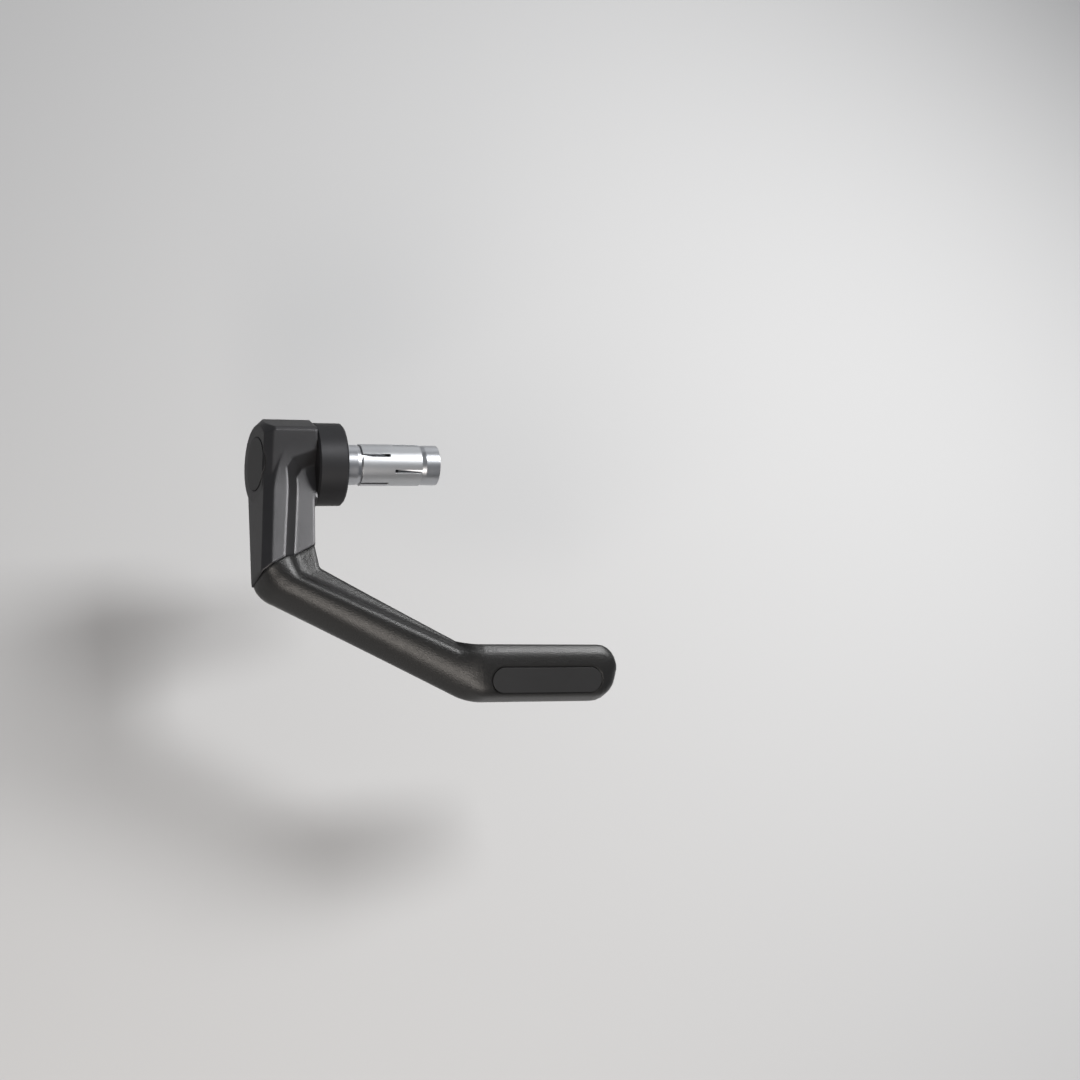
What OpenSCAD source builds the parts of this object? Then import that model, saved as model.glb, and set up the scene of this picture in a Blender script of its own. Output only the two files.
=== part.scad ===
// Lever guard for the brake side of a handlebar, in millimetres.
// +X runs inboard along the bar, -Y points forward, +Z is the face of the guard.
// The origin lies on the bar axis, where the spacer meets the end of the bar.

/* [Bracket head] */
// radius of the round head on the bar axis
head_r = 19.2; // [17:0.1:24]
// from the end of the bar to the head's inner face
neck_in = 12.4; // [9:0.1:18]
// from the end of the bar to the middle of the head's outer face
head_out = 35.7; // [33:0.1:44]
// tilt of the outer face of head and arm
face_tilt = 7; // [0:0.5:9]
// width of the chamfer round the outer face
edge_chamfer = 3; // [1:0.1:5]
// forward lean of the head's front face
brow_angle = 25; // [18:0.5:30]
// distance of the front face from the bar axis
brow_h = 13.4; // [12:0.1:15]
// backward lean of the head's upper face
crown_angle = 50; // [44:1:60]
// distance of the upper face from the bar axis
crown_h = 17.6; // [16:0.1:18.5]
// radius of the hollow blend from the front face into the arm
neck_blend = 60; // [30:1:80]

/* [Bracket arm] */
// how far forward the corner of the guard lies
reach = 55.9; // [50:0.1:70]
// from the end of the bar to the arm's outer side, on the bar axis
arm_out = 34.4; // [32:0.1:36]
// outward lean of the arm's outer side
lean_out = 5.1; // [0:0.5:8]
// outward lean of the arm's inner side
lean_in = 4.4; // [0:0.5:6]
// height of the arm's upper face at the bar axis
arm_top = 11.5; // [9:0.1:13]
// depth of the arm's lower face at the bar axis
arm_low = 17.6; // [13:0.1:18]
// slope of the arm's upper face
top_slope = 5; // [2:0.1:7]
// slope of the arm's lower face
low_slope = 7; // [4:0.1:8]
// depth of the pocket under the face
pocket_deep = 4.5; // [3:0.1:5]
// from the bar end to the foot of the pocket's long wall
pocket_x = 16.4; // [14:0.1:18]
// lean of the pocket's long wall
pocket_lean = 12; // [9:0.1:14]
// run of the pocket's long wall for each unit of rise
pocket_wall = 1; // [0.6:0.02:1.2]
// how far forward the pocket starts
pocket_start = 7.8; // [6:0.1:9]
// slant of the pocket's short wall
pocket_slant = 14; // [8:1:20]
// run of the pocket's short wall for each unit of rise
pocket_ramp = 0.65; // [0.3:0.05:0.9]
// radius of the pocket's corner
pocket_corner = 1.2; // [0.6:0.1:4]

/* [Joint of bracket and bow] */
// outward lean of the bow's inner edge before the corner
crook_lean = 2.4; // [0:0.1:4]
// slant of the joint across the arm
joint_angle = 27; // [20:1:34]
// share of the corner that belongs to the bracket
joint_at = 0.16; // [0.1:0.02:0.4]
// open joint between bracket and bow
joint_gap = 0.2; // [0.1:0.05:0.5]
// thickness of the tongue under the bow
tongue_t = 5.5; // [4:0.1:6]
// reach of the tongue along the bow, as a share of the straight
tongue_reach = 0.37; // [0.32:0.01:0.42]
// free space round the tongue
tongue_clear = 0.4; // [0.2:0.05:0.8]
// height of the tongue's lower face
tongue_low = -11; // [-11.4:0.1:-10]

/* [Bow outline] */
// angle of the long run to the bar
bow_angle = 31.2; // [26:0.5:34]
// length of the long run
bow_run = 97.6; // [90:0.5:110]
// angle of the end to the bar
end_angle = 2.7; // [0:0.1:6]
// length of the end, from the bend to the tip
end_run = 63.7; // [58:0.1:75]
// width of the long run at the corner
bow_w = 20.1; // [19:0.1:24]
// narrowing of the long run towards the bend
bow_narrow = 1.65; // [0:0.05:3]
// width of the end
end_w = 21.2; // [19.5:0.1:24]
// outer radius of the corner
corner_r = 12; // [9:0.5:16]
// outer radius of the bend
bend_r = 25; // [12:0.5:34]
// inner radius of the corner
crook_r = 2.5; // [1.5:0.1:5]
// inner radius of the bend
bend_in_r = 20; // [8:0.5:30]
// radius of the two corners of the tip
tip_r = 9.5; // [7:0.1:10.5]

/* [Bow section] */
// height of the ridge at the joint
ridge_h = 7.6; // [6:0.1:9]
// height of the ridge after the corner
ridge_run_h = 6.2; // [5.4:0.1:7]
// height of the ridge at the bend
ridge_bend_h = 5.4; // [4.4:0.1:6]
// height of the ridge at the end
ridge_end_h = 6.9; // [6.2:0.1:8]
// height of the crown above the badge, at the end
crown_end_h = 5.2; // [4.5:0.1:6.5]
// height of the inner flange at the joint
flange_h = 3.5; // [2:0.1:5]
// height of the inner flange at the bend
flange_bend_h = 2.6; // [1.6:0.1:3.6]
// height of the inner edge at the end
flange_end_h = 6.3; // [4:0.1:6.6]
// height of the outer shoulder at the joint
shoulder_h = 4.4; // [3:0.1:6]
// height of the outer shoulder after the corner
shoulder_run_h = 1.6; // [0:0.1:3]
// height of the outer shoulder at the bend
shoulder_bend_h = -0.6; // [-2:0.1:1]
// height of the outer shoulder at the end
shoulder_end_h = -0.3; // [-2:0.1:1]
// depth at which the bow is widest
belly_low = 7.5; // [6:0.1:9]
// depth of the lower edge at the joint
skirt_low = 12; // [11:0.1:14]
// depth of the lower edge at the end
skirt_end_low = 10.6; // [9.5:0.1:12]
// thickness of the bow's side walls
wall = 2.6; // [2:0.1:3.2]
// thickness of the bow's roof
roof = 3.2; // [2.6:0.1:4]
// thickness of the cross ribs
rib_t = 2; // [1.2:0.1:3]
// number of cells under the long run
run_cells = 4; // [3:1:5]
// number of cells under the end
end_cells = 4; // [3:1:5]

/* [Bow fixing] */
// radius of the thread of the two bow screws
bow_screw_r = 2.5; // [2:0.25:3]
// radius of the head of the bow screws
bow_head_r = 4.8; // [4:0.1:5.4]
// height of the countersunk head
bow_head_h = 2.5; // [2:0.1:3]
// length of the bow screws
bow_screw_len = 10; // [9:0.5:10.5]
// key size of the bow screws
bow_key = 3; // [2.5:0.5:3]
// radius of the threaded inserts
insert_r = 3.6; // [3.4:0.1:4.2]
// length of the threaded inserts
insert_len = 5; // [4:0.5:5.5]
// wall of the bosses round the inserts
boss_wall = 1.7; // [1.2:0.1:2.2]
// place of the first screw along the straight
screw_a = 0.05; // [0.03:0.01:0.1]
// place of the second screw along the straight
screw_b = 0.28; // [0.22:0.01:0.3]

/* [Badge] */
// length of the plain badge
badge_len = 48.4; // [36:0.5:52]
// width of the plain badge
badge_w = 10.4; // [8:0.1:10.8]
// thickness of the badge
badge_t = 1.3; // [0.8:0.1:2]
// how far the badge stands proud
badge_proud = 0.15; // [0:0.05:0.4]
// gap round the badge
badge_gap = 0.25; // [0.1:0.05:0.4]
// from the tip to the middle of the badge
badge_back = 32.1; // [29:0.1:38]

/* [Spacer and screw] */
// radius of the spacer ring
spacer_r = 17.5; // [15:0.1:20]
// chamfer of the spacer's rims
spacer_chamfer = 0.8; // [0.3:0.1:1.5]
// radius of the spigot in the back of the head
spigot_r = 5.6; // [5:0.1:5.8]
// height of the spigot
spigot_h = 1.9; // [1:0.1:3]
// radius of the mounting screw
screw_r = 4; // [3:0.5:5]
// radius of the screw's head
screw_head_r = 6.5; // [5.5:0.1:7]
// height of the screw's head
screw_head_h = 5; // [4:0.5:5]
// key size of the mounting screw
screw_key = 6; // [5:0.5:7]
// clear space round the mounting screw
screw_clear = 0.3; // [0.2:0.05:0.6]
// radius of the washer
washer_r = 8; // [7.5:0.1:8.2]
// thickness of the washer
washer_t = 1.2; // [1:0.1:1.6]
// free space between the cap and the screw's head
head_sink = 0.35; // [0.2:0.05:1]

/* [Cap] */
// radius of the cap in the outer face
cap_r = 11; // [10:0.1:12.5]
// gap round the cap
cap_gap = 0.25; // [0.1:0.05:0.5]
// least thickness of the cap
cap_t = 1.6; // [1.4:0.1:2]
// how far the cap stands proud
cap_proud = 0.2; // [0:0.05:0.6]
// radius of the well round the screw head
well_r = 8.6; // [8.4:0.1:9.4]
// wall of the skirt behind the cap
skirt_wall = 1.4; // [1:0.1:1.6]
// length of the skirt behind the cap
skirt_len = 4; // [3:0.5:4]
// thickness of the cap's rubber ring
ring_t = 1; // [0.8:0.1:1.2]

/* [Clamp in the bar] */
// radius of the bore of the bar
bar_bore_r = 9; // [8:0.1:11]
// gap between the collet and the bar
collet_gap = 0.1; // [0.05:0.05:0.4]
// length of the collet
collet_len = 26; // [20:0.5:34]
// from the end of the bar to the collet
collet_in = 8; // [6:0.5:12]
// width of the slots of the collet
slot_w = 1.4; // [0.8:0.1:2]
// number of slots from each end
slots = 4; // [3:1:5]
// solid band between the slots of the two ends
collet_band = 2; // [1:0.5:5]
// wall of the collet in the middle
collet_wall = 2.4; // [2:0.1:3]
// slope of the two cones
cone_angle = 12; // [8:0.5:14]
// gap between cones and collet
cone_gap = 0.08; // [0.04:0.02:0.2]
// length of each cone
cone_len = 12; // [9:0.5:14]
// length of the nut behind its cone
nut_len = 6; // [4:0.5:9]
// seat depth of the outer cone in the spacer
seat_deep = 1.5; // [1:0.1:2.5]

/* [Hidden] */
$fn = 96;
eps = 0.01;
big = 300;

// plan geometry: a point, a direction and the crossing of two lines
function pf(x, f) = [x, -f];
function ahead(a) = [cos(a), -sin(a)];
function cross2(p, q) = p.x * q.y - p.y * q.x;
function meet(p, a, q, b) = p + cross2(q - p, ahead(b)) / cross2(ahead(a), ahead(b)) * ahead(a);
function mix(a, b, k) = a + (b - a) * k;
function unit(v) = v / norm(v);

// the turn from angle a to angle b at a corner, at share k of the arc
function turn_start(c, a, b, r) = c - r * tan((a - b) / 2) * ahead(a);
function turn(c, a, b, r, k) =
    turn_start(c, a, b, r) + r * ahead(a - 90) + r * ahead(mix(a, b, k) + 90);

// the corners of the outline
arm_a = 90 + lean_out;
inner_a = 90 + lean_in;
crook_a = 90 + crook_lean;
run_in_a = bow_angle + bow_narrow;
corner = pf(-arm_out - reach * tan(lean_out), reach);
bend = corner + bow_run * ahead(bow_angle);
tip_mid = bend + (end_run - tip_r) * ahead(end_angle) + end_w / 2 * ahead(end_angle - 90);
arm_foot = pf(-neck_in, 0);
run_foot = corner + bow_w * ahead(bow_angle - 90);
end_foot = bend + end_w * ahead(end_angle - 90);
crook = meet(arm_foot, crook_a, run_foot, run_in_a);
bend_in = meet(run_foot, run_in_a, end_foot, end_angle);
joint_out = turn(corner, arm_a, bow_angle, corner_r, joint_at);
joint_in = meet(joint_out, -joint_angle, arm_foot, inner_a);
joint_n = ahead(90 - joint_angle);

// outer and inner edge of the bow: 0 to 1 corner, to 2 long run, to 3 bend, to 4 end
function outer(g) =
    g < 1 ? turn(corner, arm_a, bow_angle, corner_r, mix(joint_at, 1, g)) :
    g < 2 ? mix(outer_1, outer_2, g - 1) :
    g < 3 ? turn(bend, bow_angle, end_angle, bend_r, g - 2) :
    mix(outer_3, tip_mid - end_w / 2 * ahead(end_angle - 90), g - 3);
function inner(g) =
    g < 0.5 ? mix(joint_in, turn_start(crook, crook_a, run_in_a, crook_r), g * 2) :
    g < 1 ? turn(crook, crook_a, run_in_a, crook_r, g * 2 - 1) :
    g < 2 ? mix(inner_1, inner_2, g - 1) :
    g < 3 ? turn(bend_in, run_in_a, end_angle, bend_in_r, g - 2) :
    mix(inner_3, tip_mid + end_w / 2 * ahead(end_angle - 90), g - 3);
outer_1 = turn(corner, arm_a, bow_angle, corner_r, 1);
outer_2 = turn(bend, bow_angle, end_angle, bend_r, 0);
outer_3 = turn(bend, bow_angle, end_angle, bend_r, 1);
inner_1 = turn(crook, crook_a, run_in_a, crook_r, 1);
inner_2 = turn(bend_in, run_in_a, end_angle, bend_in_r, 0);
inner_3 = turn(bend_in, run_in_a, end_angle, bend_in_r, 1);

// a point under the bow, u from the inner edge
function spot(g, u) = inner(g) + u * unit(outer(g) - inner(g));
function width(g) = norm(outer(g) - inner(g));

// a value that changes from the joint (a) over the bend (b) to the end (c)
function along(a, b, c, g) = g < 2 ? mix(a, b, g / 2) : g < 3 ? mix(b, c, g - 2) : c;

// a value given at the joint, after the corner, at the bend and at the end
function staged(a, b, c, d, g) =
    g < 1 ? mix(a, b, 1 - (1 - g) * (1 - g)) : g < 2 ? mix(b, c, g - 1) :
    g < 3 ? mix(c, d, (g - 2) * (g - 2) * (7 - 2 * g)) : d;

// shares of the width where the section turns
function at_flange(g) = staged(0.37, 0.33, 0.1, 0.08, g);
function at_ridge(g) = staged(0.52, 0.5, 0.27, 0.22, g);
function at_crown(g) = staged(0.8, 0.68, 0.57, 0.45, g);
function at_shoulder(g) = staged(0.94, 0.87, 0.81, 0.95, g);

// heights of the section; the crown lies below the ridge where the top leans outward
function z_flange(g) = g < 2 ? mix(flange_h, flange_bend_h, g / 2) :
    g < 3 ? mix(flange_bend_h, flange_end_h, 1 - (3 - g) * (3 - g)) : flange_end_h;
function z_ridge(g) = staged(ridge_h, ridge_run_h, ridge_bend_h, ridge_end_h, g);
function z_crown(g) = staged(ridge_h - 0.1, ridge_run_h - 1.1, ridge_bend_h - 2.2, crown_end_h, g);
function z_shoulder(g) = staged(shoulder_h, shoulder_run_h, shoulder_bend_h, shoulder_end_h, g);
function z_low(g) = -along(skirt_low, mix(skirt_low, skirt_end_low, 0.6), skirt_end_low, g);

// corners of the outer skin, as share of the width and height
function drafted(z, g) = g < 1 ? mix(z * tan(face_tilt) / cos(joint_angle), 0, g) / width(g) : 0;
function skin(g) = let(w = width(g)) [
    [0.4 / w, z_low(g)],
    [0, z_flange(g)],
    [at_flange(g), z_flange(g) + (g < 3 ? 0.1 : 0.4)],
    [at_ridge(g), z_ridge(g)],
    [at_crown(g), z_crown(g)],
    [at_shoulder(g), z_shoulder(g)],
    [along(1, 1, 0.965, g) + drafted(belly_low, g), -belly_low],
    [1 - 1.2 / w + drafted(skirt_low, g), z_low(g)]];
function corner_cut(g) = [1, along(1.8, 2.8, 4.2, g), 2.2, 3, 4, 4.5, 4, 1.2];

// corners of the hollow, inset by the wall and the roof, open below
function hollow(g) = let(w = width(g), b = wall / w) [
    [b, z_low(g) - 3],
    [b, z_flange(g) - roof],
    [max(at_flange(g) + 0.03, 1.5 * b), z_flange(g) - roof],
    [at_ridge(g) + 0.02, z_ridge(g) - roof],
    [at_crown(g) - 0.03, z_crown(g) - roof],
    [at_shoulder(g) - 1.25 * b, z_shoulder(g) - roof * 0.6],
    [1 - 1.3 * b, -belly_low],
    [1 - 1.5 * b, z_low(g) - 3]];

// rounds the corners of a closed outline, w scales the shares to millimetres
function eased(p, cut, w, k) = [
    for (i = [0 : len(p) - 1])
        let(n = len(p), c = [p[i][0] * w, p[i][1]],
            a = [p[(i + n - 1) % n][0] * w, p[(i + n - 1) % n][1]],
            b = [p[(i + 1) % n][0] * w, p[(i + 1) % n][1]],
            s = c + unit(a - c) * min(cut[i], norm(a - c) * 0.45),
            e = c + unit(b - c) * min(cut[i], norm(b - c) * 0.45))
        for (j = [0 : k]) let(t = j / k) (1 - t) * (1 - t) * s + 2 * t * (1 - t) * c + t * t * e];

// a section set up on the line from inner to outer edge
function placed(a, b, section) = [
    for (q = section) let(d = unit(b - a)) [a.x + d.x * q[0], a.y + d.y * q[0], q[1]]];
function skin_ring(g) = placed(inner(g), outer(g), eased(skin(g), corner_cut(g), width(g), 5));
function hollow_ring(g) = placed(inner(g), outer(g), [for (q = hollow(g)) [q[0] * width(g), q[1]]]);

// the tip: the end section narrowed and lowered round a quarter turn
tip_core = end_w / 2 - tip_r;
function tip_ring(f) =
    let(c = tip_mid + tip_r * sin(f) * ahead(end_angle), h = tip_core + tip_r * cos(f),
        side = ahead(end_angle + 90), low = 0.5 + 0.5 * cos(f))
    [for (q = eased(skin(4), corner_cut(4), end_w, 5))
        let(s = (q[0] / end_w * 2 - 1) * h) [c.x + side.x * s, c.y + side.y * s, -4 + (q[1] + 4) * low]];

module loft(rings) {
    n = len(rings[0]);
    m = len(rings);
    polyhedron(
        [for (r = rings) for (p = r) p],
        concat(
            [[for (i = [0 : n - 1]) i]],
            [for (j = [0 : m - 2]) for (i = [0 : n - 1]) let(a = j * n + i, b = j * n + (i + 1) % n)
                each [[a, a + n, b], [b, a + n, b + n]]],
            [[for (i = [n - 1 : -1 : 0]) (m - 1) * n + i]]),
        convexity = 10);
}

// everything behind a plane through p with outward normal n
module behind(p, n) {
    u = unit(n);
    translate(p)
        rotate([0, acos(u.z), atan2(u.y, u.x)])
            translate([-big, -big, -2 * big])
                cube(2 * big);
}

// a disc or ring on the bar axis, from x0 to x1
module on_bar(x0, x1, r, r2 = 0) {
    translate([x0, 0, 0])
        rotate([0, 90, 0])
            cylinder(h = x1 - x0, r1 = r, r2 = r2 > 0 ? r2 : r);
}

// key positions along the bar
cap_x = -head_out + cap_r * tan(face_tilt) + cap_t;
head_x = cap_x + head_sink + screw_head_h;
washer_x = head_x + washer_t;
face_drop = head_r * tan(face_tilt);
face_n = [-1, 0, tan(face_tilt)];
arm_n = [-1, tan(lean_out), tan(face_tilt)];
top_n = [0, -tan(top_slope), 1];
low_n = [0, -tan(low_slope), -1];

// side view: the line of the face at an angle and a distance from the bar axis
brow_n = [0, -sin(brow_angle), cos(brow_angle)];
crown_n = [0, sin(crown_angle), cos(crown_angle)];
function brow_z(f, drop) = (brow_h - drop - f * sin(brow_angle)) / cos(brow_angle);
function top_z(f, drop) = arm_top - drop / cos(top_slope) - f * tan(top_slope);

// everything under the face of head and arm, lowered by drop, in side view
module under_face(drop) {
    far = reach + 3 * corner_r;
    r = neck_blend + drop;
    k = tan(brow_angle) - tan(top_slope);
    f = (brow_z(0, drop) - top_z(0, drop)) / k;
    half = (brow_angle - top_slope) / 2;
    t = r * tan(half);
    a = [-f + t * cos(brow_angle), brow_z(f, drop) + t * sin(brow_angle)];
    b = [-f - t * cos(top_slope), top_z(f, drop) - t * sin(top_slope)];
    mid = a + r * [-sin(brow_angle), cos(brow_angle)];
    polygon([[a.x + 0.01, a.y], a, [-f, top_z(f, drop)], b,
        [-far, top_z(far, drop)], [-far, -40], [30, -40], [30, brow_z(-30, drop)]]);
    difference() {
        polygon([a, [-f, top_z(f, drop)], b]);
        translate(mid)
            circle(r, $fn = 360);
    }
}

module side_profile() {
    far = reach + 3 * corner_r;
    intersection() {
        under_face(0);
        polygon([[3, 40], [-far, 40], [-far, -arm_low + far * tan(low_slope)], [3, -arm_low]]);
    }
}

module brow_chamfer() {
    brow_ch = unit(face_n) + brow_n;
    brow_e = [-head_out + brow_h * tan(face_tilt), 0, brow_z(0, 0)];
    behind(brow_e - unit(brow_ch) * edge_chamfer * 0.707, brow_ch);
}

module head_solid() {
    intersection() {
        on_bar(-head_out - face_drop, -neck_in, head_r);
        behind([-head_out, 0, 0], face_n);
        translate([-head_out, 0, 0])
            rotate([0, 90 + face_tilt, 0])
                cylinder(h = 60, r1 = head_r - edge_chamfer, r2 = head_r - edge_chamfer + 60);
        behind(brow_n * brow_h, brow_n);
        behind(crown_n * crown_h, crown_n);
        brow_chamfer();
    }
}

corner_start = turn_start(corner, arm_a, bow_angle, corner_r);
corner_mid = corner_start + corner_r * ahead(arm_a - 90);

module plan_outline() {
    polygon([
        pf(-arm_out - 8, -3),
        corner_start + 8 * ahead(arm_a + 90),
        corner_start,
        corner_mid,
        joint_in,
        arm_foot,
        pf(-neck_in, -3)]);
}

// the bracket's share of the rounded corner, drafted and chamfered like the arm
module corner_solid() {
    f = -corner_mid.y;
    up_z = top_z(f, 0);
    low_z = -arm_low + f * tan(low_slope);
    tilt = tan(face_tilt);
    translate([corner_mid.x, corner_mid.y, 0])
        intersection() {
            translate([0, 0, -40])
                cylinder(h = 80, r1 = corner_r + 40 * tilt, r2 = corner_r - 40 * tilt);
            translate([0, 0, up_z - 60])
                cylinder(h = 60.5, r1 = corner_r - up_z * tilt - edge_chamfer + 60,
                    r2 = corner_r - up_z * tilt - edge_chamfer - 0.5);
            translate([0, 0, low_z - 0.5])
                cylinder(h = 60.5, r1 = corner_r - low_z * tilt - edge_chamfer * 0.42 - 0.5,
                    r2 = corner_r - low_z * tilt - edge_chamfer * 0.42 + 60);
        }
}

module arm_solid() {
    edge_top = [-arm_out + arm_top * tan(face_tilt), 0, arm_top];
    edge_low = [-arm_out - arm_low * tan(face_tilt), 0, -arm_low];
    top_ch = unit(arm_n) + unit(top_n);
    low_ch = unit(arm_n) + unit(low_n);
    intersection() {
        rotate([90, 0, 90])
            translate([0, 0, -100])
                linear_extrude(100 - neck_in)
                    side_profile();
        union() {
            translate([0, 0, -40])
                linear_extrude(80)
                    plan_outline();
            corner_solid();
        }
        behind([-arm_out, 0, 0], arm_n);
        behind(edge_top - unit(top_ch) * edge_chamfer * 0.707, top_ch);
        behind(edge_low - unit(low_ch) * edge_chamfer * 0.3, low_ch);
        behind([joint_in.x, joint_in.y, 0], [joint_n.x, joint_n.y, 0]);
    }
}

// the pocket in the face, open towards the lever and the bow
module pocket() {
    floor_z = top_z(reach / 2, pocket_deep);
    wall_n = [-1, tan(pocket_lean), -pocket_wall];
    start_n = [-tan(pocket_slant), 1, -pocket_ramp];
    corner_n = unit(wall_n) + unit(start_n);
    intersection() {
        translate([-100, 0, 0])
            rotate([90, 0, 90])
                linear_extrude(200)
                    difference() {
                        translate([-150, -30])
                            square([170, 90]);
                        under_face(pocket_deep);
                    }
        behind([-pocket_x, 0, floor_z], wall_n);
        behind([-pocket_x, -pocket_start, floor_z], start_n);
        behind([-pocket_x, -pocket_start, floor_z] - unit(corner_n) * pocket_corner * 0.35, corner_n);
    }
}

// the tongue that reaches under the bow, a little narrower than its hollow
module tongue() {
    steps = [0 : 0.25 : 1];
    edge = wall + tongue_clear;
    far = 1 + tongue_reach;
    rim = [for (g = steps) spot(g, edge + 0.9)];
    rim_out = [for (g = steps) spot(g, width(g) - wall * 1.5 - tongue_clear - 0.7)];
    translate([0, 0, tongue_low])
        linear_extrude(tongue_t)
            polygon(concat(
                [rim_out[0] + 4 * unit(rim_out[0] - rim_out[1]), rim[0] + 4 * unit(rim[0] - rim[1])],
                [for (i = [1 : len(rim) - 1]) rim[i]],
                [spot(far - 0.03, edge + 0.9), spot(far, edge + 3.4)],
                [spot(far, width(far) - wall * 1.5 - tongue_clear - 3.2)],
                [spot(far - 0.03, width(far) - wall * 1.5 - tongue_clear - 0.7)],
                [for (i = [len(rim_out) - 1 : -1 : 1]) rim_out[i]]));
}

screw_spots = [for (k = [screw_a, screw_b]) spot(1 + k, wall + (width(1 + k) - 2.5 * wall) / 2)];
tongue_top = tongue_low + tongue_t;

module bow_screw_holes(r) {
    for (p = screw_spots)
        translate([p.x, p.y, tongue_low - 5])
            cylinder(h = 30, r = r);
}

module guard_bracket() {
    color("#26272a")
        difference() {
            union() {
                head_solid();
                arm_solid();
                tongue();
            }
            pocket();
            on_bar(-60, 0, screw_r + screw_clear);
            on_bar(-60, washer_x, well_r);
            on_bar(-60, cap_x, cap_r + cap_gap);
            on_bar(-neck_in - spigot_h - 0.1, 0, spigot_r + 0.15);
            bow_screw_holes(bow_screw_r + 0.2);
            for (p = screw_spots)
                translate([p.x, p.y, tongue_low - eps])
                    cylinder(h = bow_head_h + 0.2, r1 = bow_head_r + 0.25, r2 = bow_screw_r + 0.2);
        }
}

// frame of the face that carries the badge
facet_a = atan2(z_crown(3.5) - z_shoulder(3.5), (at_shoulder(3.5) - at_crown(3.5)) * end_w);
facet_u = (at_shoulder(3.5) + at_crown(3.5)) / 2 * end_w;
badge_p = tip_mid + (tip_r - badge_back) * ahead(end_angle) + (end_w / 2 - facet_u) * ahead(end_angle - 90);
badge_z = (z_crown(3.5) + z_shoulder(3.5)) / 2;

module on_facet() {
    translate([badge_p.x, badge_p.y, badge_z])
        rotate([facet_a, 0, -end_angle])
            children();
}

module stadium(l, w) {
    square([l - w, w], center = true);
    for (s = [-1, 1])
        translate([s * (l - w) / 2, 0])
            circle(w / 2);
}

module bow_cells() {
    first = 1 + tongue_reach + 0.03;
    steps = (2 - first) / run_cells;
    half_run = rib_t / 2 / norm(outer_2 - outer_1);
    half_end = rib_t / 2 / norm(tip_mid - end_w / 2 * ahead(end_angle - 90) - outer_3);
    difference() {
        loft([for (g = [-0.04, 0.125, 0.25, 0.375, 0.5, 0.625, 0.75, 0.875, 1, first - half_run])
            g < 0 ? [for (q = hollow_ring(0)) q - [joint_n.x, joint_n.y, 0]] : hollow_ring(g)]);
        for (p = screw_spots)
            translate([p.x, p.y, tongue_top])
                cylinder(h = 40, r = insert_r + boss_wall);
    }
    for (i = [0 : run_cells - 1])
        loft([hollow_ring(first + i * steps + half_run), hollow_ring(first + (i + 1) * steps - half_run)]);
    loft([for (k = [0 : 4]) hollow_ring(mix(2.05, 2.95, k / 4))]);
    for (i = [0 : end_cells - 1])
        loft([hollow_ring(3 + i / end_cells + half_end), hollow_ring(3 + (i + 1) / end_cells - half_end)]);
}

module guard_bow() {
    off = [joint_n.x, joint_n.y, 0] * joint_gap;
    color("#303134")
        difference() {
            loft(concat(
                [[for (q = skin_ring(0)) q + off]],
                [for (k = [1 : 7]) skin_ring(k / 8)],
                [for (k = [0 : 5]) skin_ring(1 + k / 6)],
                [for (k = [0 : 5]) skin_ring(2 + k / 6)],
                [for (k = [0 : 1]) skin_ring(3 + k / 2)],
                [for (k = [0 : 6]) tip_ring(15 * k)]));
            bow_cells();
            for (p = screw_spots)
                translate([p.x, p.y, tongue_top - 1])
                    cylinder(h = max(insert_len, bow_screw_len - tongue_t) + 1.3, r = insert_r);
            on_facet()
                translate([0, 0, badge_proud - badge_t])
                    linear_extrude(20)
                        stadium(badge_len + 2 * badge_gap, badge_w + 2 * badge_gap);
        }
}

module bow_inserts() {
    color("#b08d57")
        for (p = screw_spots)
            translate([p.x, p.y, tongue_top + 0.1])
                difference() {
                    cylinder(h = insert_len, r = insert_r);
                    translate([0, 0, -1])
                        cylinder(h = insert_len + 2, r = bow_screw_r + 0.05);
                }
}

module bow_screws() {
    color("#1b1b1d")
        for (p = screw_spots)
            translate([p.x, p.y, tongue_low])
                difference() {
                    union() {
                        cylinder(h = bow_head_h, r1 = bow_head_r, r2 = bow_screw_r);
                        cylinder(h = bow_screw_len, r = bow_screw_r);
                    }
                    translate([0, 0, -1])
                        cylinder(h = 2.8, r = bow_key / sqrt(3), $fn = 6);
                }
}

module badge() {
    color("#3a3b3e")
        on_facet()
            translate([0, 0, badge_proud - badge_t])
                linear_extrude(badge_t)
                    stadium(badge_len, badge_w);
}

module end_cap() {
    inner_r = well_r - 0.2 - skirt_wall;
    ring_x = cap_x + skirt_len - 2 * ring_t;
    color("#2e2f32")
        difference() {
            union() {
                intersection() {
                    on_bar(-head_out - 20, cap_x, cap_r);
                    behind([-head_out - cap_proud, 0, 0], face_n);
                    brow_chamfer();
                }
                on_bar(cap_x - eps, cap_x + skirt_len, well_r - 0.2);
            }
            on_bar(cap_x, cap_x + skirt_len + 1, inner_r);
            difference() {
                on_bar(ring_x - ring_t / 2 - 0.1, ring_x + ring_t / 2 + 0.1, well_r + 1);
                on_bar(ring_x - ring_t, ring_x + ring_t, well_r - 0.1 - ring_t);
            }
        }
}

module cap_ring() {
    ring_x = cap_x + skirt_len - 2 * ring_t;
    color("#0c0c0c")
        translate([ring_x, 0, 0])
            rotate([0, 90, 0])
                rotate_extrude()
                    translate([well_r - 0.05 - ring_t / 2, 0])
                        circle(ring_t / 2, $fn = 24);
}

module mount_washer() {
    color("#8c8f93")
        difference() {
            on_bar(head_x, washer_x, washer_r);
            on_bar(head_x - 1, washer_x + 1, screw_r + screw_clear / 2);
        }
}

cone_r = bar_bore_r - 0.4;
cone_small = cone_r - cone_len * tan(cone_angle);
cone_x = collet_in - 2;
nut_x = collet_in + collet_len + 2;

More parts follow.
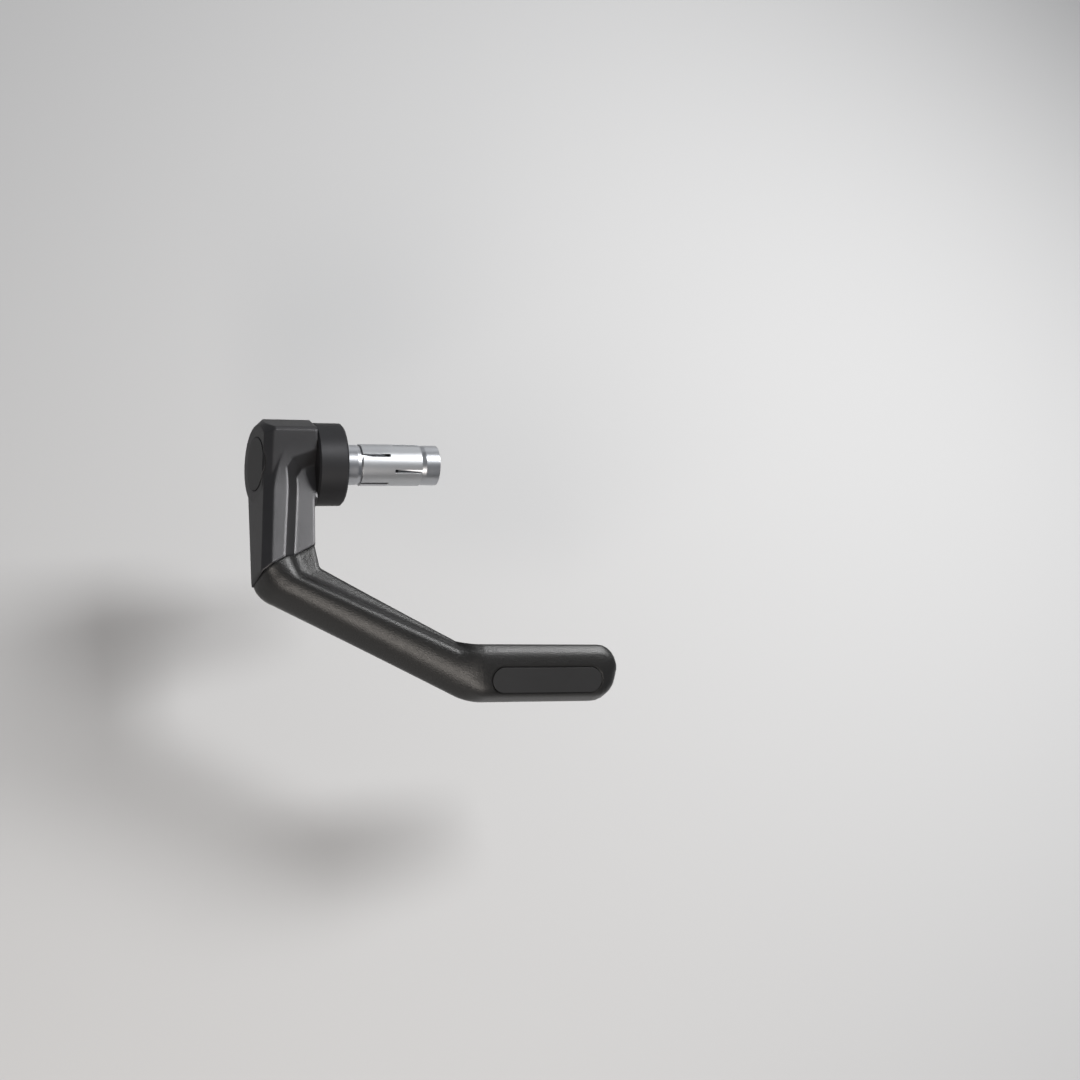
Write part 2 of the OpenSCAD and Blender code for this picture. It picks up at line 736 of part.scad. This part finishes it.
module mount_screw() {
    color("#1b1b1d")
        difference() {
            union() {
                on_bar(head_x - screw_head_h, head_x, screw_head_r);
                on_bar(head_x - eps, nut_x + nut_len - 1, screw_r);
            }
            translate([head_x - screw_head_h - 1, 0, 0])
                rotate([0, 90, 0])
                    cylinder(h = screw_head_h / 2 + 1, r = screw_key / sqrt(3), $fn = 6);
        }
}

module spacer_ring() {
    c = spacer_chamfer;
    color("#3b3c3f")
        difference() {
            union() {
                on_bar(-neck_in, -neck_in + c, spacer_r - c, spacer_r);
                on_bar(-neck_in + c, -c, spacer_r);
                on_bar(-c, 0, spacer_r, spacer_r - c);
                on_bar(-neck_in - spigot_h, -neck_in + 1, spigot_r);
            }
            on_bar(-60, 60, screw_r + screw_clear);
            on_bar(-seat_deep, 1, cone_r + 0.15);
        }
}

module cone_front() {
    color("#9a9ca0")
        difference() {
            union() {
                on_bar(-seat_deep, cone_x, cone_r);
                on_bar(cone_x, cone_x + cone_len, cone_r, cone_small);
            }
            on_bar(-10, 60, screw_r + screw_clear);
        }
}

module cone_nut() {
    color("#9a9ca0")
        difference() {
            union() {
                on_bar(nut_x, nut_x + nut_len, cone_r);
                on_bar(nut_x - cone_len, nut_x, cone_small, cone_r);
            }
            on_bar(-10, 80, screw_r + 0.05);
        }
}

module collet() {
    x0 = collet_in;
    x1 = collet_in + collet_len;
    grow = tan(cone_angle);
    slot_len = (collet_len - collet_band) / 2;
    color("#b9bbbf")
        difference() {
            on_bar(x0, x1, bar_bore_r - collet_gap);
            on_bar(x0 - 1, x1 + 1, bar_bore_r - collet_gap - collet_wall - 0.6);
            on_bar(x0 - 1, cone_x + cone_len, cone_r + cone_gap - (x0 - 1 - cone_x) * grow, cone_small + cone_gap);
            on_bar(nut_x - cone_len, x1 + 1, cone_small + cone_gap, cone_r + cone_gap - (nut_x - x1 - 1) * grow);
            for (i = [0 : slots - 1]) {
                rotate([i * 360 / slots, 0, 0])
                    translate([x0 - 1, -slot_w / 2, 0])
                        cube([slot_len + 1, slot_w, bar_bore_r + 1]);
                rotate([(i + 0.5) * 360 / slots, 0, 0])
                    translate([x1 - slot_len, -slot_w / 2, 0])
                        cube([slot_len + 1, slot_w, bar_bore_r + 1]);
            }
        }
}

guard_bracket();
guard_bow();
bow_inserts();
bow_screws();
badge();
end_cap();
cap_ring();
mount_washer();
mount_screw();
spacer_ring();
cone_front();
cone_nut();
collet();
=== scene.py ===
# %% [markdown]
# # A brake lever guard
# A motorcycle racer screws this guard into the open end of the handlebar. A short cast arm reaches
# forward from the bar, and a moulded bow runs inboard in front of the brake lever, so that a touch
# from another machine cannot pull the lever. The CAD model already has every shape in its true size.
# Here it gets its finishes, a few fine surface details, soft light and the camera of the photograph.

# %% Load the frame
from math import cos, sin, tau
import bpy
from mathutils import Matrix, Vector


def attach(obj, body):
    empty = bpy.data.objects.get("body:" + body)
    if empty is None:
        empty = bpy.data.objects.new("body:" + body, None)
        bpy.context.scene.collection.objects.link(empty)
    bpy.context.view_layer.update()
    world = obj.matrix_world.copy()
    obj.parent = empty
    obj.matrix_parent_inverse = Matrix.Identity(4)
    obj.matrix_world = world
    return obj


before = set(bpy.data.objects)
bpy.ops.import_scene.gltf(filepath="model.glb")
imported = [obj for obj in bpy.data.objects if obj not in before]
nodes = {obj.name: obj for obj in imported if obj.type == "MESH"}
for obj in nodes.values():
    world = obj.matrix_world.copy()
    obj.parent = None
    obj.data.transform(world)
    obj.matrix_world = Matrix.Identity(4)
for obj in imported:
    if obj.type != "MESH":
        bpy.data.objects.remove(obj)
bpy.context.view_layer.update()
print("nodes:", sorted(nodes))

# %% [markdown]
# ## Camera
# The picture looks down on the guard from the outer side, a little ahead of the bar. Three directions
# fix a camera: where its right side, its top and its back point. A 45 mm lens on a 36 mm sensor gives
# the mild perspective of a product picture taken from about 60 cm away.

# %% Camera
RIGHT = Vector((0.92711, -0.16882, 0.33461))
TOP = Vector((0.0125, 0.90624, 0.42259))
BACK = Vector((-0.37458, -0.3876, 0.84229))
PLACE = Vector((-0.13643, -0.26555, 0.49792))
LENS, SENSOR = 45, 36  # mm


def turned(right, top, back, place):
    """A matrix whose columns are three directions and a place."""
    m = Matrix((right, top, back)).transposed().to_4x4()
    m.translation = place
    return m


camera_data = bpy.data.cameras.new("camera")
camera_data.lens, camera_data.sensor_width = LENS, SENSOR
camera = bpy.data.objects.new("camera", camera_data)
bpy.context.scene.collection.objects.link(camera)
camera.matrix_world = turned(RIGHT, TOP, BACK, PLACE)
bpy.context.scene.camera = camera
print("camera height above the face:", round(PLACE.z, 3), "m")

# %% [markdown]
# ## Shader tools
# Every finish is built from the same few steps: make a material, read the object's own coordinates,
# lay noise over them, and turn a height into a normal. Small helpers keep the recipes short.

# %% Shader helpers


def new_finish(name):
    """An empty material with its node tree, shader and coordinates."""
    material = bpy.data.materials.new(name)
    material.use_nodes = True
    tree = material.node_tree
    tree.nodes.clear()
    out = tree.nodes.new("ShaderNodeOutputMaterial")
    shader = tree.nodes.new("ShaderNodeBsdfPrincipled")
    tree.links.new(shader.outputs["BSDF"], out.inputs["Surface"])
    place = tree.nodes.new("ShaderNodeTexCoord").outputs["Object"]
    return material, tree, shader, place


def noise(tree, place, scale, detail=3.0, roughness=0.55):
    """A cloudy value from 0 to 1 over the surface, scale in cells per metre."""
    node = tree.nodes.new("ShaderNodeTexNoise")
    node.inputs["Scale"].default_value = scale
    node.inputs["Detail"].default_value = detail
    node.inputs["Roughness"].default_value = roughness
    tree.links.new(place, node.inputs["Vector"])
    return node.outputs["Fac"]


def spread(tree, value, low, high, to_low, to_high):
    """Maps a value from one range to another, and holds it there."""
    node = tree.nodes.new("ShaderNodeMapRange")
    node.clamp = True
    for key, number in (("From Min", low), ("From Max", high), ("To Min", to_low), ("To Max", to_high)):
        node.inputs[key].default_value = number
    tree.links.new(value, node.inputs["Value"])
    return node.outputs["Result"]


def soft_edges(tree, radius):
    """A normal that rounds every edge by a radius in metres, as casting and moulding leave it."""
    node = tree.nodes.new("ShaderNodeBevel")
    node.samples = 6
    node.inputs["Radius"].default_value = radius
    return node.outputs["Normal"]


def blend_colours(tree, share, dark, light):
    """A colour between two, by a value."""
    node = tree.nodes.new("ShaderNodeMix")
    node.data_type = "RGBA"
    node.inputs[6].default_value = (*dark, 1)
    node.inputs[7].default_value = (*light, 1)
    tree.links.new(share, node.inputs[0])
    return node.outputs[2]


print("shader helpers ready")

# %% [markdown]
# ## Grain, as a group
# Cast and moulded parts share one thing: a fine even grain, left by blasting or by the etched steel
# of a mould. A node group holds that effect once, with its size and depth as inputs, and each finish
# gives its own values. It returns a normal and a mask of the pits, and no shader.

# %% Grain group


def socket(tree, name, kind, out=False, value=None):
    """Adds a named socket to a group."""
    made = tree.interface.new_socket(name=name, in_out="OUTPUT" if out else "INPUT", socket_type=kind)
    if value is not None:
        made.default_value = value
    return made


grain = bpy.data.node_groups.new("fine grain", "ShaderNodeTree")
socket(grain, "Place", "NodeSocketVector")
socket(grain, "Cells per metre", "NodeSocketFloat", value=2600.0)
socket(grain, "Depth", "NodeSocketFloat", value=0.00004)
socket(grain, "Strength", "NodeSocketFloat", value=0.5)
socket(grain, "Edge normal", "NodeSocketVector")
socket(grain, "Normal", "NodeSocketVector", out=True)
socket(grain, "Pits", "NodeSocketFloat", out=True)
g_in = grain.nodes.new("NodeGroupInput")
g_out = grain.nodes.new("NodeGroupOutput")
pits = grain.nodes.new("ShaderNodeTexNoise")
pits.inputs["Detail"].default_value = 3.0
pits.inputs["Roughness"].default_value = 0.6
bump = grain.nodes.new("ShaderNodeBump")
for a, b in ((g_in.outputs["Place"], pits.inputs["Vector"]),
             (g_in.outputs["Cells per metre"], pits.inputs["Scale"]),
             (pits.outputs["Fac"], bump.inputs["Height"]),
             (g_in.outputs["Depth"], bump.inputs["Distance"]),
             (g_in.outputs["Strength"], bump.inputs["Strength"]),
             (g_in.outputs["Edge normal"], bump.inputs["Normal"]),
             (bump.outputs["Normal"], g_out.inputs["Normal"]),
             (pits.outputs["Fac"], g_out.inputs["Pits"])):
    grain.links.new(a, b)


def add_grain(tree, place, shader, cells, depth, strength, edge=0.0003):
    """Places the grain group in a finish and wires its normal to the shader."""
    node = tree.nodes.new("ShaderNodeGroup")
    node.node_tree = grain
    node.inputs["Cells per metre"].default_value = cells
    node.inputs["Depth"].default_value = depth
    node.inputs["Strength"].default_value = strength
    tree.links.new(place, node.inputs["Place"])
    tree.links.new(soft_edges(tree, edge), node.inputs["Edge normal"])
    tree.links.new(node.outputs["Normal"], shader.inputs["Normal"])
    return node.outputs["Pits"]


print("grain group has", len(grain.nodes), "nodes")

# %% [markdown]
# ## Moulded bow
# The bow is glass-filled nylon. It is nearly black, its grain sparkles a little where the light is
# steep, and its dark colour varies softly at random along the piece. The pits are duller than the skin
# between them, so the mask of the group also drives the roughness.

# %% Moulded nylon
nylon, tree, shader, place = new_finish("moulded nylon")
pit_mask = add_grain(tree, place, shader, cells=1800, depth=0.00019, strength=0.7, edge=0.0016)
cloud = noise(tree, place, 55, detail=4)
colour = blend_colours(tree, cloud, (0.006, 0.0058, 0.0056), (0.012, 0.0116, 0.011))
tree.links.new(colour, shader.inputs["Base Color"])
tree.links.new(spread(tree, pit_mask, 0.35, 0.7, 0.4, 0.27), shader.inputs["Roughness"])
shader.inputs["Specular IOR Level"].default_value = 0.45
print("nylon roughness 0.27 to 0.4")

# %% [markdown]
# ## Blasted and anodised arm
# The arm is cast aluminium, blasted and anodised black. The oxide is a dull dark layer that lets a
# little of the metal's sheen through, so the shader is mostly metallic, with a very dark colour and a
# broad highlight. A plain plastic would turn pale where the view grazes it. The dyed oxide doesn't, so
# a grey specular tint holds back the reflection at the edges. Clouds of slightly different grey keep it
# from looking like paint.

# %% Anodised casting
casting, tree, shader, place = new_finish("anodised casting")
pit_mask = add_grain(tree, place, shader, cells=2700, depth=0.00008, strength=0.6, edge=0.0014)
cloud = noise(tree, place, 70, detail=5)
colour = blend_colours(tree, cloud, (0.066, 0.0653, 0.0672), (0.09, 0.089, 0.0917))
tree.links.new(colour, shader.inputs["Base Color"])
tree.links.new(spread(tree, pit_mask, 0.3, 0.7, 0.43, 0.33), shader.inputs["Roughness"])
shader.inputs["Metallic"].default_value = 0.85
shader.inputs["Specular Tint"].default_value = (0.52, 0.52, 0.52, 1)
shader.inputs["IOR"].default_value = 1.3
print("casting is", shader.inputs["Metallic"].default_value, "metallic")

# %% [markdown]
# ## Turned spacer
# The spacer is turned on a lathe and then anodised. The tool leaves rings round the axis, far too
# fine to model, which stretch the highlight. A wave texture in rings about X gives them.

# %% Turned and anodised
RINGS = 900  # per metre
turned_black, tree, shader, place = new_finish("turned anodised")
wave = tree.nodes.new("ShaderNodeTexWave")
wave.wave_type = "BANDS"
wave.bands_direction = "X"
wave.inputs["Scale"].default_value = RINGS
wave.inputs["Distortion"].default_value = 1.2
tree.links.new(place, wave.inputs["Vector"])
rings = tree.nodes.new("ShaderNodeBump")
rings.inputs["Strength"].default_value = 0.12
rings.inputs["Distance"].default_value = 0.00002
tree.links.new(wave.outputs["Fac"], rings.inputs["Height"])
tree.links.new(rings.outputs["Normal"], shader.inputs["Normal"])
cloud = noise(tree, place, 90, detail=4)
colour = blend_colours(tree, cloud, (0.034, 0.034, 0.036), (0.046, 0.046, 0.048))
tree.links.new(colour, shader.inputs["Base Color"])
tree.links.new(spread(tree, cloud, 0.3, 0.7, 0.5, 0.42), shader.inputs["Roughness"])
shader.inputs["Metallic"].default_value = 0.7
shader.inputs["Specular Tint"].default_value = (0.6, 0.6, 0.6, 1)
shader.inputs["IOR"].default_value = 1.3
print("rings every", round(1000 / RINGS, 2), "mm and finer")

# %% [markdown]
# ## Badge, cap, screws and rubber
# The smaller pieces use the same recipe with other values: a matt plate for the bare badge, a smooth
# satin cap, black oxide screws, bare and plated metal for what hides in the bar, and rubber.

# %% Small finishes


def plain_finish(name, dark, light, rough, metal=0.0, cells=3000, depth=0.00002, strength=0.25, clouds=80,
                 gloss=0.5, edge=1.0):
    """A grained finish: two colours, roughness range, share of metal, gloss face on and at the edges."""
    material, tree, shader, place = new_finish(name)
    mask = add_grain(tree, place, shader, cells, depth, strength)
    cloud = noise(tree, place, clouds, detail=4)
    colour = blend_colours(tree, cloud, dark, light)
    tree.links.new(colour, shader.inputs["Base Color"])
    tree.links.new(spread(tree, mask, 0.3, 0.7, rough[1], rough[0]), shader.inputs["Roughness"])
    shader.inputs["Metallic"].default_value = metal
    shader.inputs["Specular IOR Level"].default_value = gloss
    shader.inputs["Specular Tint"].default_value = (edge, edge, edge, 1)
    return material


badge_black = plain_finish("matt badge", (0.012, 0.012, 0.0123), (0.018, 0.018, 0.0185), (0.45, 0.58),
                           cells=2200, depth=0.00008, strength=0.5, gloss=0.36)
cap_black = plain_finish("satin cap", (0.042, 0.042, 0.043), (0.052, 0.052, 0.053), (0.4, 0.5), metal=0.8,
                         gloss=0.3, edge=0.6)
oxide = plain_finish("black oxide", (0.03, 0.03, 0.034), (0.05, 0.05, 0.055), (0.35, 0.5), metal=0.8)
plated = plain_finish("plated steel", (0.36, 0.37, 0.39), (0.46, 0.47, 0.49), (0.28, 0.4), metal=1.0)
bare = plain_finish("bare aluminium", (0.42, 0.43, 0.445), (0.5, 0.51, 0.525), (0.36, 0.48), metal=1.0)
brass = plain_finish("brass", (0.55, 0.4, 0.18), (0.68, 0.52, 0.26), (0.3, 0.42), metal=1.0)
rubber = plain_finish("rubber", (0.012, 0.012, 0.012), (0.018, 0.018, 0.018), (0.6, 0.75))

FINISH = {"guard_bow": nylon, "guard_bracket": casting, "spacer_ring": turned_black, "badge": badge_black,
          "end_cap": cap_black, "cap_ring": rubber, "mount_washer": plated, "mount_screw": oxide,
          "bow_screws": oxide, "bow_inserts": brass, "cone_front": plated, "cone_nut": plated, "collet": bare}
for name, material in FINISH.items():
    nodes[name].data.materials.clear()
    nodes[name].data.materials.append(material)
print(len(FINISH), "nodes have their finish")

# %% [markdown]
# ## Ejector marks
# Under the bow, each cell between two ribs shows a round mark where a pin pushed the part out of its
# mould. They repeat, and they lie on a roof that slopes and bends, so a Geometry Nodes tree places
# them: it casts a ray up from each point of a short list, finds the roof and its slope there, and
# sets a thin disc on it. The list holds the middle of each cell in millimetres.

# %% Ejector marks
CELLS = [(5.3, -72.0), (14.3, -77.9), (23.2, -83.6), (32.2, -89.4),
         (54.0, -96.2), (66.8, -96.8), (79.6, -97.4), (92.0, -98.0)]
BELOW = -0.02  # height under the bow from which the rays start
REACH = 0.05  # how far a ray looks for the roof
SIDES = 40  # of one disc


def marks_tree(target, material):
    """A tree that sets a disc on the target above each point, with named sizes."""
    tree = bpy.data.node_groups.new("ejector marks", "GeometryNodeTree")
    socket(tree, "Points", "NodeSocketGeometry")
    socket(tree, "Radius", "NodeSocketFloat", value=0.0016)
    socket(tree, "Thickness", "NodeSocketFloat", value=0.00014)
    socket(tree, "Marks", "NodeSocketGeometry", out=True)
    add = tree.nodes.new
    start, end = add("NodeGroupInput"), add("NodeGroupOutput")
    roof = add("GeometryNodeObjectInfo")
    roof.inputs["Object"].default_value = target
    ray = add("GeometryNodeRaycast")
    ray.inputs["Ray Direction"].default_value = (0, 0, 1)
    ray.inputs["Ray Length"].default_value = REACH
    keep = add("GeometryNodeStoreNamedAttribute")
    read = add("GeometryNodeInputNamedAttribute")
    for node in (keep, read):
        node.data_type = "FLOAT_VECTOR"
        node.inputs["Name"].default_value = "slope"
    settle = add("GeometryNodeSetPosition")
    disc = add("GeometryNodeMeshCylinder")
    disc.inputs["Vertices"].default_value = SIDES
    place = add("GeometryNodeInstanceOnPoints")
    tilt = add("FunctionNodeAlignRotationToVector")
    tilt.axis = "Z"
    real = add("GeometryNodeRealizeInstances")
    dress = add("GeometryNodeSetMaterial")
    dress.inputs["Material"].default_value = material
    # each point keeps the slope of the roof above it before it moves up to the roof
    for a, b in ((roof.outputs["Geometry"], ray.inputs["Target Geometry"]),
                 (start.outputs["Points"], keep.inputs["Geometry"]),
                 (ray.outputs["Hit Normal"], keep.inputs["Value"]),
                 (keep.outputs["Geometry"], settle.inputs["Geometry"]),
                 (ray.outputs["Hit Position"], settle.inputs["Position"]),
                 (settle.outputs["Geometry"], place.inputs["Points"]),
                 (start.outputs["Radius"], disc.inputs["Radius"]),
                 (start.outputs["Thickness"], disc.inputs["Depth"]),
                 (disc.outputs["Mesh"], place.inputs["Instance"]),
                 (read.outputs["Attribute"], tilt.inputs["Vector"]),
                 (tilt.outputs["Rotation"], place.inputs["Rotation"]),
                 (place.outputs["Instances"], real.inputs["Geometry"]),
                 (real.outputs["Geometry"], dress.inputs["Geometry"]),
                 (dress.outputs["Geometry"], end.inputs["Marks"])):
        tree.links.new(a, b)
    return tree


def made_plain(source, name):
    """The evaluated result of an object's modifiers as a plain mesh object."""
    graph = bpy.context.evaluated_depsgraph_get()
    mesh = bpy.data.meshes.new_from_object(source.evaluated_get(graph))
    result = bpy.data.objects.new(name, mesh)
    bpy.context.scene.collection.objects.link(result)
    bpy.data.objects.remove(source)
    return result


seeds = bpy.data.meshes.new("cell middles")
seeds.from_pydata([(x / 1000, y / 1000, BELOW) for x, y in CELLS], [], [])
carrier = bpy.data.objects.new("cell middles", seeds)
bpy.context.scene.collection.objects.link(carrier)
marks_modifier = carrier.modifiers.new("marks", "NODES")
marks_modifier.node_group = marks_tree(nodes["guard_bow"], nylon)
marks = made_plain(carrier, "ejector_marks")
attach(marks, "root")
print(len(CELLS), "marks,", len(marks.data.polygons), "faces")

# %% [markdown]
# ## Floor
# The guard is held by the bar, so it stands clear of the floor. The floor is a wide pale sheet well
# below it, matt, so that it only catches a soft shadow. It is round, and it ends where the light of
# the lamps has faded to the grey of the world, so that no dark band shows behind it from the side.

# %% Floor
FLOOR = -0.11
ROUND, CORNERS = 1.3, 96  # radius of the sheet, corners of its rim
turns = [tau * k / CORNERS for k in range(CORNERS)]
floor_mesh = bpy.data.meshes.new("floor")
floor_mesh.from_pydata([(ROUND * cos(t), ROUND * sin(t), FLOOR) for t in turns], [], [tuple(range(CORNERS))])
floor = bpy.data.objects.new("floor", floor_mesh)
bpy.context.scene.collection.objects.link(floor)
floor_finish, tree, shader, place = new_finish("pale floor")
shader.inputs["Base Color"].default_value = (0.5, 0.5, 0.5, 1)
shader.inputs["Roughness"].default_value = 0.9
floor.data.materials.append(floor_finish)
print("floor at", FLOOR, "m")

# %% [markdown]
# ## Light
# Nearly black parts show their shape through what they reflect, not through shade. So each lamp is
# put near the place where one kind of face mirrors it to the camera. The key serves the faces that
# look up, and gives the bright bands of the arm and of the end of the bow. The faces that lean
# forward mirror a warm panel in front, which gives the brown sheen along the bow. A weak panel
# behind separates the upper edges from the floor.

# %% Light
world = bpy.data.worlds.new("studio")
bpy.context.scene.world = world
world.use_nodes = True
world.node_tree.nodes["Background"].inputs["Color"].default_value = (0.9, 0.93, 1.0, 1)
world.node_tree.nodes["Background"].inputs["Strength"].default_value = 0.2


def panel(name, place, aim, width, height, watts, colour=(1, 1, 1)):
    """A soft rectangular lamp at a place, facing a point."""
    data = bpy.data.lights.new(name, "AREA")
    data.shape = "RECTANGLE"
    data.size, data.size_y = width, height
    data.energy = watts
    data.color = colour
    lamp = bpy.data.objects.new(name, data)
    bpy.context.scene.collection.objects.link(lamp)
    back = (Vector(place) - Vector(aim)).normalized()
    right = Vector((0, 1, 0)).cross(back).normalized() if abs(back.y) < 0.95 else Vector((1, 0, 0))
    lamp.matrix_world = turned(right, back.cross(right), back, Vector(place))
    return lamp


MIDDLE = (0.02, -0.05, 0.0)
panel("key", (0.5, 0.19, 0.66), MIDDLE, 0.42, 0.24, 8.8)
panel("warm front", (-0.28, -0.75, 0.42), MIDDLE, 0.5, 0.3, 4.7, (1.0, 0.93, 0.86))
panel("back", (0.3, 0.8, 0.1), MIDDLE, 0.9, 0.4, 1.0)
bpy.context.scene.view_settings.view_transform = "Standard"
print("three soft lamps")
